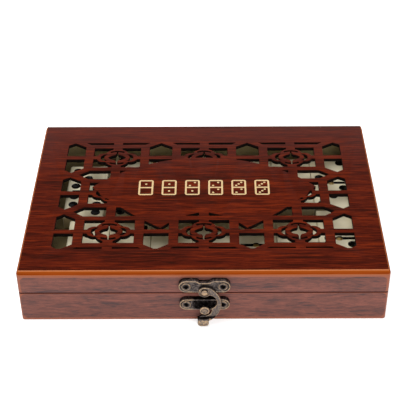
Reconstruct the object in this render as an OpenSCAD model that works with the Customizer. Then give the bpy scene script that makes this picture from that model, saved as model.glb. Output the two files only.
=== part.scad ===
// Domino storage box: a two-part rosewood-finish case with a fretwork lid,
// back hinges, an antique swing-hook latch and a double-six set laid inside.
// Millimetres, +Z up, origin at the middle of the underside, latch towards -Y.

/* [Dominoes] */
// Length of one domino
tile_l = 52; // [48:0.5:60]
// Width of one domino
tile_w = 24; // [22:0.5:28]
// Thickness of one domino
tile_t = 8; // [7:0.5:12]
// Radius of a domino's upright edges
tile_r = 1.2; // [0.5:0.1:2]
// Radius of a pip where it meets the face
pip_r = 2.75; // [1.8:0.05:3]
// Depth of a pip
pip_depth = 0.7; // [0.3:0.1:1]
// Distance between neighbouring pips across a domino
pip_pitch_x = 7; // [6.5:0.1:7.6]
// Distance between neighbouring pips along a domino
pip_pitch_y = 7.7; // [6.5:0.1:8.2]
// Length of the dividing groove across the middle
groove_l = 17; // [12:0.5:20]
// Width of the dividing groove
groove_w = 1.7; // [1:0.1:2.4]
// Depth of the dividing groove
groove_depth = 0.5; // [0.3:0.1:0.8]
// Radius of the brass spinner pin at the middle
spinner_r = 2; // [1.2:0.1:2.6]
// Depth of the spinner's seat
spinner_seat = 1.4; // [1:0.1:2]
// Height of the spinner's domed top
spinner_dome_h = 0.6; // [0.2:0.1:0.9]
// Play between the spinner's domed top and the face
spinner_sink = 0.1; // [0:0.05:0.3]
// Gap between neighbouring columns
tile_gap = 0.1; // [0.05:0.05:1]

/* [Case] */
// Spare width beside the seven columns
spare_w = 13.4; // [8:0.2:30]
// Spare length in front of, between and behind the two rows
spare_d = 18; // [12:1:40]
// Clearance between the right wall and the last column
right_room = 0.9; // [0.3:0.1:5]
// Thickness of the four walls
wall_t = 9; // [8:0.5:14]
// Thickness of the floor panel
floor_t = 3; // [2.5:0.1:6]
// Height of the base rim above the top layer of dominoes
rim_room = 0.7; // [0.3:0.1:6]
// Height of the lid's walls under the fretwork panel
lid_wall_h = 12.3; // [11:0.1:30]
// Thickness of the fretwork panel
panel_t = 3; // [2.6:0.1:5]
// Thickness of the panel where the fretwork is cut
fret_t = 2.3; // [1.5:0.1:2.5]
// How far that thinner field runs past the windows
fret_margin = 4; // [1:0.5:8]
// Radius of the four upright outer edges
corner_r = 1.4; // [1:0.1:6]
// Width of the chamfer round the top edge of the panel, seen from above
chamfer_w = 1.1; // [0.5:0.1:1.9]
// Height of that chamfer
chamfer_h = 2.2; // [0.5:0.1:2.4]
// Broken edge along both sides of the seam
seam_break = 0.4; // [0.1:0.1:1]
// Broken edge round the underside
foot_break = 0.6; // [0.1:0.1:1.5]

/* [Fretwork] */
// Plain border left and right of the fretwork
border_x = 16.5; // [12:0.5:30]
// Plain border in front of and behind the fretwork
border_y = 19.2; // [12:0.2:30]
// Offset of the lattice to the right of the lid's middle
lattice_x = 0.2; // [-2:0.1:2]
// Offset of the lattice behind the lid's middle
lattice_y = -0.4; // [-2:0.1:2]
// Distance between rosettes, left to right
period_x = 53; // [50:0.5:60]
// Distance between rosettes, front to back
period_y = 35.5; // [34:0.5:42]
// Width of a rosette's square opening
cell_w = 28.5; // [27:0.5:32]
// Depth of a rosette's square opening
cell_d = 20; // [19:0.5:22]
// Width of the bars that run front to back
stile_w = 5.3; // [3:0.1:7]
// Width of the bars that run left to right
rail_w = 3.6; // [2.5:0.1:5]
// Width of the posts through the flat windows
post_w = 5.5; // [3:0.1:7]
// Width of the bars through the tall windows
mid_bar_w = 3.4; // [2:0.1:5]
// Length of a tall window, point to point
tall_l = 31; // [28:0.5:32]
// Length of a tall window's pointed end
tall_tip = 4.3; // [2:0.1:7]
// Length of a flat window, point to point
flat_l = 43; // [40:0.5:46]
// Length of a flat window's pointed end
flat_tip = 5.9; // [3:0.1:8]
// How much farther the slits along the front and back edges run, at each end
slit_reach = 1.2; // [0:0.1:2]

/* [Rosette] */
// Radius of the front and back lobes
lobe_r = 7.75; // [6.5:0.05:8.5]
// Distance of those lobes from the middle
lobe_off = 1; // [0:0.1:2]
// Radius of the left and right lobes
ear_r = 4.4; // [3.5:0.1:5]
// Distance of those lobes from the middle
ear_off = 8.15; // [7:0.05:9]
// Radius of the round hole in a side lobe
ear_hole_r = 3.45; // [2.5:0.05:3.6]
// Distance of that hole from the middle
ear_hole_off = 6.5; // [5.5:0.1:7]
// Radius of the round lip that makes it a crescent
ear_lip_r = 3.6; // [3:0.05:4]
// Distance of that lip from the middle
ear_lip_off = 4.2; // [3.5:0.1:5]
// Radius of the curved slot in a front or back lobe
slot_r = 9.3; // [8:0.1:12]
// Width of that slot
slot_w = 1.4; // [0.8:0.1:1.8]
// Distance of that slot from the middle
slot_off = 6.5; // [6:0.1:6.8]
// Half the angle that the slot covers
slot_half_angle = 27; // [15:1:30]
// Half width of the pointed eye at the middle
eye_w = 5.4; // [4:0.1:5.6]
// Half depth of that eye
eye_d = 2.9; // [2:0.1:3.4]
// Half width of the cusps in front of and behind the eye
cusp_w = 1.25; // [0.8:0.05:1.8]
// Distance of a cusp's point from the middle
cusp_d = 4.4; // [3.8:0.1:5]
// How far a cusp's foot lies inside the eye's edge
cusp_inset = 0.4; // [0.2:0.05:0.6]
// Width of the slit between the scrolls
slit_w = 0.7; // [0.4:0.1:1]

/* [Cartouche] */
// Half width of the solid cartouche
plaque_w = 65.5; // [50:0.5:68]
// Distance of its crown behind the middle of the lid
plaque_crown = 34.8; // [28:0.2:38]
// Radius of its crown
plaque_crown_r = 87.5; // [80:0.5:120]
// Radius of its bowed lower sides
plaque_side_r = 190; // [150:5:400]
// Distance of each of its two points from the middle line
plaque_point_x = 24.3; // [20:0.1:30]
// Distance of its two points in front of the middle of the lid
plaque_point_y = 33; // [28:0.5:36]
// Distance of the arch between them in front of the middle of the lid
plaque_arch_y = 18.4; // [14:0.2:22]
// Radius of that pointed arch's sides
plaque_arch_r = 44.5; // [40:0.5:60]

/* [Emblem] */
// Number of little dominoes in the gold row
emblem_count = 6; // [3:1:7]
// Width of one little domino
emblem_w = 8.6; // [6:0.1:9.2]
// Length of one little domino
emblem_l = 14.4; // [10:0.1:18]
// Distance between little dominoes, middle to middle
emblem_pitch = 13.6; // [10:0.1:14]
// Width of the gold lines
emblem_line = 1; // [0.6:0.1:1.4]
// Radius of a little domino's outer corners
emblem_r = 1.4; // [1:0.1:2]
// Distance between neighbouring gold pips
emblem_pip_pitch = 1.5; // [1.2:0.1:1.8]
// Radius of the gold pips
emblem_pip_r = 0.65; // [0.4:0.05:0.7]
// Distance of the row behind the middle of the lid
emblem_y = 4.4; // [0:0.2:10]
// Thickness of the gold foil
foil_t = 0.1; // [0.05:0.05:0.3]

/* [Hinges] */
// Distance between the two hinges, middle to middle
hinge_spacing = 120; // [90:2:150]
// Length of a hinge along its pin
hinge_l = 25; // [20:0.5:36]
// Height of one leaf above or below the pin
leaf_h = 9; // [8:0.5:11]
// Thickness of a leaf
leaf_t = 1; // [0.8:0.1:1.4]
// Outer radius of the knuckles
knuckle_r = 2; // [1.8:0.1:3]
// Radius of the hinge pin
pin_r = 1; // [0.7:0.05:1.2]
// Radial clearance of the lid's knuckle on the pin
pin_play = 0.05; // [0.02:0.01:0.1]
// Gap between neighbouring knuckles
knuckle_gap = 0.2; // [0.1:0.05:0.5]
// Gap between a knuckle and the notch it turns in
leaf_notch_gap = 0.3; // [0.1:0.1:0.6]
// Distance between the two screws of a leaf
leaf_screw_pitch = 16; // [12:0.5:18]
// Distance of the screws from the pin
leaf_screw_off = 5.8; // [5:0.1:6.5]

/* [Latch] */
// Distance of the latch from the middle of the front
latch_x = 0.6; // [-30:0.1:30]
// Thickness of the two cast plates
plate_t = 3; // [1.5:0.1:4]
// Distance of a plate's screws from its middle
plate_screw_x = 9.9; // [8.5:0.1:13]
// Height of the upper plate's screws above the seam
keep_screw_z = 6.9; // [6:0.1:7.5]
// Radius of the upper plate's round ends
keep_end_r = 4; // [3.4:0.1:4.5]
// Distance that each of those ends reaches inwards before it falls to the waist
keep_shoulder = 4.2; // [1:0.1:5]
// Height of the upper plate's waist above the seam
keep_waist_z = 9.5; // [8:0.1:10]
// Height of the hook's pivot above the seam
pivot_z = 4; // [3.4:0.1:4.5]
// Depth of the lower plate's screws below the seam
strike_screw_z = 6; // [5.6:0.1:6.6]
// Radius of the lower plate's round ends
strike_end_r = 3.7; // [3:0.1:4]
// Depth of the stud below the seam
stud_z = 8.4; // [8:0.1:8.9]
// Radius of the stud's head
stud_r = 2.7; // [2:0.1:2.9]
// Radius of the stud's neck
stud_neck_r = 1.8; // [1.2:0.1:1.9]
// Length of the stud's neck
stud_neck_l = 1; // [0.5:0.1:2]
// Thickness of the stud's head
stud_head_t = 1.6; // [1:0.1:3]
// Thickness of the hook
hook_t = 1.4; // [1:0.1:2]
// Gap between the hook and the plate and head it turns between
hook_gap = 0.05; // [0.02:0.01:0.2]
// Radius of the hook's eye
hook_eye_r = 3.3; // [2.8:0.1:3.4]
// Radius of the hook's outer sweep
hook_sweep_r = 14.05; // [13.6:0.05:14.4]
// Distance of the sweep's centre left of the pivot
hook_sweep_x = 5; // [4.6:0.1:5.4]
// Depth of the sweep's centre below the seam
hook_sweep_z = 4.7; // [4.3:0.1:5.1]
// Radius of the hook's shoulder above the sweep
hook_shoulder_r = 8.7; // [8:0.1:9.4]
// Radius of the hook's open throat
hook_throat_r = 5.2; // [4.8:0.1:5.4]
// Distance of the throat's centre right of the pivot
hook_throat_x = 1.5; // [1:0.1:1.7]
// Depth of the throat's centre below the seam
hook_throat_z = 3.1; // [2.8:0.1:3.5]
// Radius of the hook's seat round the stud
hook_seat_r = 3.8; // [3.4:0.1:3.9]
// Distance of the seat's centre below the stud's
hook_seat_drop = 0.8; // [0.4:0.1:1]
// Distance of the hook's tail left of the pivot
hook_tail_x = 0.8; // [0:0.1:1.6]
// Depth of the tail's centre below the seam
hook_tail_z = 15.6; // [15.2:0.1:16]
// Radius of the tail's round end
hook_tail_r = 2.7; // [2.2:0.1:3]
// Width of the finger tab
tab_w = 6.2; // [4:0.1:6.6]
// Height of the finger tab
tab_h = 4.2; // [3:0.1:4.6]
// Radius of the finger tab's two corners
tab_r = 2; // [0.5:0.1:2]
// How far the finger tab stands out beyond the hook
tab_out = 2.4; // [1:0.1:4]
// Radius of the pivot rivet's shank
rivet_r = 1; // [0.8:0.05:1.3]
// Radial clearance of the hook on the rivet
rivet_play = 0.05; // [0.02:0.01:0.1]
// Radius of the rivet's domed head
rivet_head_r = 1.9; // [1.6:0.1:2.6]
// Height of the rivet's domed head
rivet_head_h = 1.2; // [0.6:0.1:1.4]

/* [Screws] */
// Radius of a screw's shank and pilot hole
screw_r = 0.9; // [0.7:0.05:1.1]
// Radius of a latch screw's countersunk head
latch_head_r = 2.1; // [1.8:0.1:2.4]
// Radius of a hinge screw's countersunk head
hinge_head_r = 1.7; // [1.4:0.1:2]
// How far a screw goes into the wood
screw_bite = 5.5; // [4:0.1:7]
// Width of the cross recess's arms
cross_w = 0.5; // [0.3:0.05:0.7]
// Depth of the cross recess
cross_depth = 0.5; // [0.3:0.05:0.6]
// Length of the cross recess's arms as a share of the head's width
cross_share = 0.6; // [0.4:0.05:0.7]

/* [Hidden] */
$fn = 72;
cols = 7;
max_pips = 6;
// How far a cutter stands proud of what it cuts, and an arm runs into its ring.
lap = 1;

// The double-six set as it lies, left to right: each pair is [back half, front half].
low_back = [[0, 0], [0, 1], [1, 5], [1, 6], [2, 2], [2, 4], [2, 5]];
low_front = [[3, 3], [3, 4], [3, 5], [4, 4], [4, 6], [5, 5], [6, 6]];
top_back = [[5, 6], [4, 5], [3, 6], [2, 6], [1, 3], [1, 2], [2, 3]];
top_front = [[1, 1], [4, 1], [0, 5], [0, 6], [0, 3], [0, 2], [0, 4]];
layout = [[low_back, low_front], [top_back, top_front]];
// Gap between each domino and the back or front wall, as the loose set has settled:
// shares of the spare length, of which a column's two dominoes take less than 1.
low_back_share = [0.2, 0.24, 0.2, 0.26, 0.22, 0.2, 0.24];
low_front_share = [0.24, 0.2, 0.26, 0.2, 0.22, 0.24, 0.2];
top_back_share = [0.7, 0.05, 0.16, 0.11, 0.22, 0.3, 0.27];
top_front_share = [0.14, 0.92, 0.02, 0.02, 0.33, 0.17, 0.65];
wall_share = [[low_back_share, low_front_share], [top_back_share, top_front_share]];
// Sideways slip of the top layer's back row: shares of the spare width.
stray_share = [-0.36, -0.11, 0, 0, 0, 0, 0];

inner_w = cols * tile_w + (cols - 1) * tile_gap + spare_w;
inner_d = 2 * tile_l + spare_d;
box_w = inner_w + 2 * wall_t;
box_d = inner_d + 2 * wall_t;
seam = floor_t + 2 * tile_t + rim_room;
panel_z = seam + lid_wall_h;
box_h = panel_z + panel_t;
front_y = -box_d / 2;
back_y = box_d / 2;

fret_w = box_w - 2 * border_x;
fret_d = box_d - 2 * border_y;
fret_cols = floor((fret_w + cell_w) / 2 / period_x);
fret_rows = floor((fret_d + cell_d) / 2 / period_y);
tall_w = period_x - cell_w - 2 * stile_w;
flat_d = period_y - cell_d - 2 * rail_w;

pip_ball_r = (pip_r * pip_r + pip_depth * pip_depth) / 2 / pip_depth;
half_centre = tile_l / 4;
spinner_ball_r = (spinner_r * spinner_r + spinner_dome_h * spinner_dome_h) / 2 / spinner_dome_h;

hinge_y = back_y + knuckle_r;
knuckle_l = (hinge_l - 2 * knuckle_gap) / 3;
leaf_relief = knuckle_r + leaf_notch_gap;

hook_p = plate_t + hook_gap;
hook_face_p = hook_p + hook_t;
rivet_ball_r = (rivet_head_r * rivet_head_r + rivet_head_h * rivet_head_h) / 2 / rivet_head_h;

// ---- shared shapes -------------------------------------------------------

module rounded_rect(w, d, r) {
    square([w - 2 * r, d], center = true);
    square([w, d - 2 * r], center = true);
    for (x = [-1, 1], y = [-1, 1])
        translate([x * (w / 2 - r), y * (d / 2 - r)])
            circle(r);
}

// Centre of an arc of radius r from p to q that bows to the right of the walk.
function arc_centre(p, q, r) =
    let (m = (p + q) / 2, d = q - p, half = norm(d) / 2)
    m + [-d.y, d.x] / norm(d) * sqrt(r * r - half * half);

// Four bars on edge round the case: they break its outer edges at height z.
module edge_bars(z, inset, drop) {
    for (s = [-1, 1]) {
        translate([-box_w / 2 - inset, s * box_d / 2, z])
            rotate([90, 0, 90])
                linear_extrude(box_w + 2 * inset)
                    bar_end(inset, drop);
        translate([s * box_w / 2, box_d / 2 + inset, z])
            rotate([90, 0, 0])
                linear_extrude(box_d + 2 * inset)
                    bar_end(inset, drop);
    }
}

module bar_end(inset, drop) {
    polygon([[inset, 0], [0, drop], [-inset, 0], [0, -drop]]);
}

// Carries a flat outline onto the front face, from p0 to p1 in front of it;
// the outline's y is the height above the seam.
module on_front(p0, p1) {
    translate([latch_x, front_y - p0, seam])
        rotate([90, 0, 0])
            linear_extrude(p1 - p0)
                children();
}

// ---- case ----------------------------------------------------------------

module end_wall_plan(side) {
    intersection() {
        rounded_rect(box_w, box_d, corner_r);
        translate([0, side * (box_d - wall_t) / 2])
            square([box_w, wall_t], center = true);
    }
}

module side_wall_plan(side) {
    translate([side * (box_w - wall_t) / 2, 0])
        square([wall_t, box_d - 2 * wall_t], center = true);
}

module base_tier() {
    translate([0, 0, floor_t])
        linear_extrude(seam - floor_t)
            children();
}

module lid_tier() {
    translate([0, 0, seam])
        linear_extrude(panel_z - seam)
            children();
}

module base_floor() {
    color("#7a3a2c")
    difference() {
        linear_extrude(floor_t)
            rounded_rect(box_w, box_d, corner_r);
        edge_bars(0, foot_break, foot_break);
    }
}

module base_front_wall() {
    color("#6e2b22")
    difference() {
        base_tier()
            end_wall_plan(-1);
        edge_bars(seam, seam_break, seam_break);
        latch_pilots(-strike_screw_z);
    }
}

module base_back_wall() {
    color("#6e2b22")
    difference() {
        base_tier()
            end_wall_plan(1);
        edge_bars(seam, seam_break, seam_break);
        hinge_pilots(-1);
    }
}

module base_side_wall(side) {
    color("#6e2b22")
    difference() {
        base_tier()
            side_wall_plan(side);
        edge_bars(seam, seam_break, seam_break);
    }
}

module lid_front_rail() {
    color("#6e2b22")
    difference() {
        lid_tier()
            end_wall_plan(-1);
        edge_bars(seam, seam_break, seam_break);
        latch_pilots(keep_screw_z);
    }
}

module lid_back_rail() {
    color("#6e2b22")
    difference() {
        lid_tier()
            end_wall_plan(1);
        edge_bars(seam, seam_break, seam_break);
        hinge_pilots(1);
    }
}

module lid_side_rail(side) {
    color("#6e2b22")
    difference() {
        lid_tier()
            side_wall_plan(side);
        edge_bars(seam, seam_break, seam_break);
    }
}

// ---- fretwork ------------------------------------------------------------

// Solid part of one rosette: a four-lobed ring round a pair of scrolls.
module rosette() {
    difference() {
        union() {
            for (s = [-1, 1]) {
                translate([0, s * lobe_off])
                    circle(lobe_r);
                translate([s * ear_off, 0])
                    circle(ear_r);
            }
        }
        for (s = [-1, 1]) {
            scale([1, s])
                curved_slot();
            scale([s, 1])
                ear_crescent();
            scale([1, s])
                cusp();
        }
        pointed_eye();
    }
}

module curved_slot() {
    reach = 2 * slot_r * [sin(slot_half_angle), cos(slot_half_angle)];
    translate([0, slot_off - slot_r])
        intersection() {
            difference() {
                circle(slot_r + slot_w / 2);
                circle(slot_r - slot_w / 2);
            }
            polygon([[0, 0], [-reach.x, reach.y], reach]);
        }
}

module ear_crescent() {
    difference() {
        translate([ear_hole_off, 0])
            circle(ear_hole_r);
        translate([ear_lip_off, 0])
            circle(ear_lip_r);
    }
}

module pointed_eye() {
    arc_r = (eye_w * eye_w + eye_d * eye_d) / 2 / eye_d;
    intersection_for (s = [-1, 1])
        translate([0, s * (arc_r - eye_d)])
            circle(arc_r);
}

module cusp() {
    polygon([
        [-cusp_w, 0], [-cusp_w, eye_d - cusp_inset],
        [-slit_w / 2, cusp_d], [-slit_w / 2, slot_off],
        [slit_w / 2, slot_off], [slit_w / 2, cusp_d],
        [cusp_w, eye_d - cusp_inset], [cusp_w, 0]
    ]);
}

// One square opening with its rosette and the four arms that hold it.
module rosette_window() {
    difference() {
        square([cell_w, cell_d], center = true);
        rosette();
        for (s = [-1, 1]) {
            translate([-post_w / 2, s > 0 ? slot_off + slot_w : -cell_d])
                square([post_w, cell_d - slot_off - slot_w]);
            translate([s > 0 ? ear_off + ear_r - lap : -cell_w, -mid_bar_w / 2])
                square([cell_w - ear_off - ear_r + lap, mid_bar_w]);
        }
    }
}

// Six-sided window, pointed towards +X and -X, with a bar across its middle.
module pointed_window(length, width, tip, bar) {
    shoulder = length / 2 - tip;
    difference() {
        polygon([
            [-length / 2, 0], [-shoulder, width / 2], [shoulder, width / 2],
            [length / 2, 0], [shoulder, -width / 2], [-shoulder, -width / 2]
        ]);
        square([bar, width + 2 * lap], center = true);
    }
}

module lattice_windows() {
    intersection() {
        square([fret_w, fret_d], center = true);
        translate([0, lattice_y]) {
            for (i = [-fret_cols:fret_cols], j = [-fret_rows:fret_rows])
                translate([i * period_x, j * period_y])
                    rosette_window();
            for (i = [-fret_cols - 1:fret_cols], j = [-fret_rows:fret_rows])
                translate([(i + 0.5) * period_x, j * period_y])
                    rotate(90)
                        pointed_window(tall_l, tall_w, tall_tip, mid_bar_w);
            for (i = [-fret_cols:fret_cols], j = [-fret_rows - 1:fret_rows]) {
                reach = abs(j + 0.5) > fret_rows ? slit_reach : 0;
                translate([i * period_x, (j + 0.5) * period_y])
                    pointed_window(flat_l + 2 * reach, flat_d, flat_tip, post_w);
            }
        }
    }
}

// Solid shield in the middle: a wide crown, two bowed sides that run to two
// points, and a pointed arch between the points.
module cartouche() {
    crown_y = plaque_crown - plaque_crown_r;
    tip = [plaque_w, crown_y + sqrt(pow(plaque_crown_r, 2) - pow(plaque_w, 2))];
    point = [plaque_point_x, -plaque_point_y];
    side = arc_centre(point, tip, plaque_side_r);
    arch = arc_centre(point, [0, -plaque_arch_y], plaque_arch_r);
    difference() {
        intersection() {
            translate([0, crown_y])
                circle(plaque_crown_r);
            mirrored_pair()
                translate(side)
                    circle(plaque_side_r);
        }
        mirrored_pair()
            translate(arch)
                circle(plaque_arch_r);
    }
}

// What a shape and its mirror image in the middle line have in common.
module mirrored_pair() {
    intersection_for (m = [0, 1])
        mirror([m, 0])
            children();
}

module lid_fret_panel() {
    color("#571712")
    difference() {
        translate([0, 0, panel_z])
            linear_extrude(panel_t)
                difference() {
                    rounded_rect(box_w, box_d, corner_r);
                    translate([lattice_x, 0])
                        difference() {
                            lattice_windows();
                            cartouche();
                        }
                }
        edge_bars(box_h, chamfer_w, chamfer_h);
        translate([0, 0, panel_z - lap])
            linear_extrude(panel_t - fret_t + lap)
                rounded_rect(fret_w + 2 * fret_margin, fret_d + 2 * fret_margin, corner_r);
    }
}

// Gold foil on the cartouche: a row of little dominoes, each a ring with a bar
// across it, with one more pip from left to right.
module lid_emblem() {
    color("#e8cf94")
    translate([lattice_x, emblem_y, box_h])
        linear_extrude(foil_t)
            for (i = [1:emblem_count])
                translate([(i - (emblem_count + 1) / 2) * emblem_pitch, 0])
                    little_domino(ceil(i / 2), floor(i / 2));
}

module little_domino(back_pips, front_pips) {
    difference() {
        rounded_rect(emblem_w, emblem_l, emblem_r);
        square([emblem_w - 2 * emblem_line, emblem_l - 2 * emblem_line], center = true);
    }
    square([emblem_w - emblem_line, emblem_line], center = true);
    for (half = [[1, back_pips], [-1, front_pips]])
        translate([0, half[0] * (emblem_l - emblem_line) / 4])
            for (spot = pip_spots(min(half[1], max_pips)))
                translate(spot * emblem_pip_pitch)
                    circle(emblem_pip_r);
}

// ---- dominoes ------------------------------------------------------------

function domino_name(pair) = str("domino_", min(pair), "_", max(pair));

// Where the pips of one half lie, in steps from the middle of the half.
function pip_spots(n) = concat(
    n % 2 == 1 ? [[0, 0]] : [],
    n > 1 ? [[1, 1], [-1, -1]] : [],
    n > 3 ? [[-1, 1], [1, -1]] : [],
    n > 5 ? [[-1, 0], [1, 0]] : []);

// Middle of the domino's underside in the box: row 0 is the back row.
function domino_place(layer, row, col) =
    let (from_right = (cols - 1 - col) * (tile_w + tile_gap),
         slip = layer == 1 && row == 0 ? stray_share[col] * spare_w : 0,
         side = row == 0 ? 1 : -1)
    [inner_w / 2 - right_room - tile_w / 2 - from_right + slip,
     side * (inner_d / 2 - wall_share[layer][row][col] * spare_d - tile_l / 2),
     floor_t + layer * tile_t];

module domino(pair) {
    color("#d6cfb4")
    difference() {
        linear_extrude(tile_t)
            rounded_rect(tile_w, tile_l, tile_r);
        translate([0, 0, tile_t - groove_depth])
            linear_extrude(groove_depth + lap)
                square([groove_l, groove_w], center = true);
        translate([0, 0, tile_t - spinner_seat])
            cylinder(r = spinner_r, h = spinner_seat + lap);
        for (half = [[1, pair[0]], [-1, pair[1]]])
            for (spot = pip_spots(half[1]))
                translate([spot.x * pip_pitch_x, half[0] * half_centre + spot.y * pip_pitch_y,
                           tile_t - pip_depth + pip_ball_r])
                    sphere(pip_ball_r);
    }
}

// Brass pin in the middle of a domino: a straight shank under a low dome.
module spinner() {
    dome_top = tile_t - spinner_sink;
    intersection() {
        translate([0, 0, tile_t - spinner_seat])
            cylinder(r = spinner_r, h = spinner_seat);
        translate([0, 0, dome_top - spinner_ball_r])
            sphere(spinner_ball_r);
    }
}

module domino_spinners() {
    color("#c79a3f")
    for (layer = [0, 1], row = [0, 1], col = [0:cols - 1])
        translate(domino_place(layer, row, col))
            spinner();
}

// ---- screws --------------------------------------------------------------

// Countersunk screw along -Z with its head's top at z = 0.
module screw(head_r, through) {
    difference() {
        union() {
            screw_head(head_r);
            translate([0, 0, -through - screw_bite])
                cylinder(r = screw_r, h = through + screw_bite);
        }
        for (a = [0, 90])
            rotate(a)
                translate([-cross_share * head_r, -cross_w / 2, -cross_depth])
                    cube([2 * cross_share * head_r, cross_w, cross_depth + lap]);
    }
}

module screw_head(head_r) {
    translate([0, 0, screw_r - head_r])
        cylinder(r1 = screw_r, r2 = head_r, h = head_r - screw_r);
}

// ---- hinges --------------------------------------------------------------

module at_hinge(side) {
    translate([side * hinge_spacing / 2, hinge_y, seam])
        children();
}

// Points of the leaf's screws on the back face, their heads towards +Y.
module at_leaf_screws(level, out) {
    for (s = [-1, 1])
        translate([s * leaf_screw_pitch / 2, out - knuckle_r, level * leaf_screw_off])
            rotate([-90, 0, 0])
                children();
}

module hinge_pilots(level) {
    for (side = [-1, 1])
        at_hinge(side)
            at_leaf_screws(level, 0)
                translate([0, 0, -screw_bite])
                    cylinder(r = screw_r, h = screw_bite + lap);
}

module hinge_screws(level) {
    color("#8a6a3c")
    for (side = [-1, 1])
        at_hinge(side)
            at_leaf_screws(level, leaf_t)
                screw(hinge_head_r, leaf_t);
}

// Plate with its knuckles rolled round the pin: level is 1 for the lid's leaf.
// knuckles lists each knuckle's middle along the pin.
module hinge_leaf(level, knuckles, bore_r, others) {
    difference() {
        union() {
            translate([-hinge_l / 2, -knuckle_r, level > 0 ? 0 : -leaf_h])
                cube([hinge_l, leaf_t, leaf_h]);
            for (x = knuckles)
                translate([x - knuckle_l / 2, 0, 0])
                    rotate([0, 90, 0])
                        cylinder(r = knuckle_r, h = knuckle_l);
        }
        for (x = knuckles)
            translate([x - knuckle_l / 2 - lap, 0, 0])
                rotate([0, 90, 0])
                    cylinder(r = bore_r, h = knuckle_l + 2 * lap);
        for (x = others)
            translate([x - knuckle_l / 2 - knuckle_gap, -knuckle_r - lap, -leaf_relief])
                cube([knuckle_l + 2 * knuckle_gap, leaf_t + 2 * lap, 2 * leaf_relief]);
        at_leaf_screws(level, leaf_t) {
            screw_head(hinge_head_r);
            translate([0, 0, -leaf_t - lap])
                cylinder(r = screw_r, h = leaf_t + 2 * lap);
        }
    }
}

module hinge_base_leaf(side) {
    pitch = knuckle_l + knuckle_gap;
    color("#7d5f38")
    at_hinge(side)
        hinge_leaf(-1, [-pitch, pitch], pin_r, [0]);
}

module hinge_lid_leaf(side) {
    pitch = knuckle_l + knuckle_gap;
    color("#7d5f38")
    at_hinge(side)
        hinge_leaf(1, [0], pin_r + pin_play, [-pitch, pitch]);
}

module hinge_pin(side) {
    color("#a58450")
    at_hinge(side)
        rotate([0, 90, 0])
            cylinder(r = pin_r, h = hinge_l, center = true);
}

// ---- latch ---------------------------------------------------------------

module latch_pilots(z) {
    for (s = [-1, 1])
        on_front(-screw_bite, lap)
            translate([s * plate_screw_x, z])
                circle(screw_r);
}

module at_plate_screws(z) {
    for (s = [-1, 1])
        translate([latch_x + s * plate_screw_x, front_y - plate_t, seam + z])
            rotate([90, 0, 0])
                children();
}

module latch_screws(z) {
    color("#6f5a38")
    at_plate_screws(z)
        screw(latch_head_r, plate_t);
}

// Cast plate of the given outline, drilled and countersunk for its two screws,
// with a hole for the shank of the rivet or stud.
module latch_plate(screw_z, shank_z, shank_r) {
    difference() {
        on_front(0, plate_t)
            difference() {
                children();
                translate([0, shank_z])
                    circle(shank_r);
                for (s = [-1, 1])
                    translate([s * plate_screw_x, screw_z])
                        circle(screw_r);
            }
        at_plate_screws(screw_z)
            screw_head(latch_head_r);
    }
}

// Right end of the upper plate: round outside, and round again at its shoulder.
module plate_end() {
    translate([-keep_shoulder, -keep_end_r])
        square([keep_shoulder, 2 * keep_end_r]);
    for (x = [-keep_shoulder, 0])
        translate([x, 0])
            circle(keep_end_r);
}

module latch_lid_plate() {
    foot_z = keep_screw_z - keep_end_r;
    color("#5b4c38")
    latch_plate(keep_screw_z, pivot_z, rivet_r) {
        union() {
            for (s = [-1, 1])
                translate([s * plate_screw_x, keep_screw_z])
                    scale([s, 1])
                        plate_end();
            translate([-plate_screw_x, foot_z])
                square([2 * plate_screw_x, keep_waist_z - foot_z]);
            translate([0, pivot_z])
                circle(hook_eye_r);
        }
    }
}

module latch_base_plate() {
    color("#5b4c38")
    latch_plate(-strike_screw_z, -stud_z, stud_neck_r) {
        union() {
            for (s = [-1, 1])
                translate([s * plate_screw_x, -strike_screw_z])
                    circle(strike_end_r);
            translate([-plate_screw_x, -strike_screw_z - strike_end_r])
                square([2 * plate_screw_x, 2 * strike_end_r]);
            translate([0, -stud_z])
                circle(stud_r);
        }
    }
}

module latch_stud() {
    head_p = plate_t + stud_neck_l;
    color("#8a7448") {
        on_front(0, head_p)
            translate([0, -stud_z])
                circle(stud_neck_r);
        on_front(head_p, head_p + stud_head_t)
            translate([0, -stud_z])
                circle(stud_r);
    }
}

module latch_pivot_rivet() {
    head_p = hook_face_p + hook_gap;
    color("#a38550") {
        on_front(0, head_p)
            translate([0, pivot_z])
                circle(rivet_r);
        intersection() {
            on_front(head_p, head_p + rivet_head_h)
                translate([0, pivot_z])
                    circle(rivet_head_r);
            translate([latch_x, front_y - head_p - rivet_head_h + rivet_ball_r, seam + pivot_z])
                sphere(rivet_ball_r);
        }
    }
}

// Outline of the hook: an eye on the rivet, a sweep to the right round the open
// throat, a seat that wraps the stud from below, and a short tail.
module hook_outline() {
    shoulder_z = pivot_z + hook_eye_r - hook_shoulder_r;
    seat_z = -stud_z - hook_seat_drop;
    far = 2 * hook_sweep_r;
    translate([0, pivot_z])
        circle(hook_eye_r);
    difference() {
        intersection() {
            translate([-hook_sweep_x, -hook_sweep_z])
                circle(hook_sweep_r);
            union() {
                translate([-hook_tail_x, shoulder_z - far])
                    square([far, far]);
                intersection() {
                    translate([0, shoulder_z])
                        circle(hook_shoulder_r);
                    translate([0, shoulder_z])
                        square(far);
                }
                translate([-hook_tail_x, -hook_tail_z])
                    circle(hook_tail_r);
            }
        }
        translate([hook_throat_x, -hook_throat_z])
            circle(hook_throat_r);
        translate([0, seat_z])
            circle(hook_seat_r);
        translate([hook_throat_x - far, seat_z])
            square([far, pivot_z - seat_z]);
        translate([-far, seat_z - hook_seat_r])
            square([far, hook_seat_r]);
    }
}

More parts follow.
